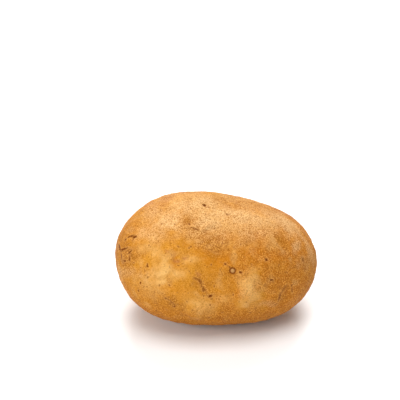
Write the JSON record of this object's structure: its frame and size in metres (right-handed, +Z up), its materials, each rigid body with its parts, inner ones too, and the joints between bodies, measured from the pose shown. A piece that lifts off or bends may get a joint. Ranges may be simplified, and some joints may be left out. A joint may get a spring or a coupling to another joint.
{
  "type": "potato",
  "caption": "Whole raw potato: a smooth oval tuber with golden-brown skin, shallow eyes and a small flat spot that it rests on.",
  "frame": {"origin": "On the surface that the potato lies on, under the middle of its box", "axes": "+X runs along the potato's length, towards its narrower end, and +Z is up, out of its flat spot"},
  "size_m": [0.096, 0.071, 0.0585],
  "materials": {
    "potato_skin": "matte"
  },
  "bodies": {
    "root": {"potato": "potato_skin"}
  },
  "joints": []
}
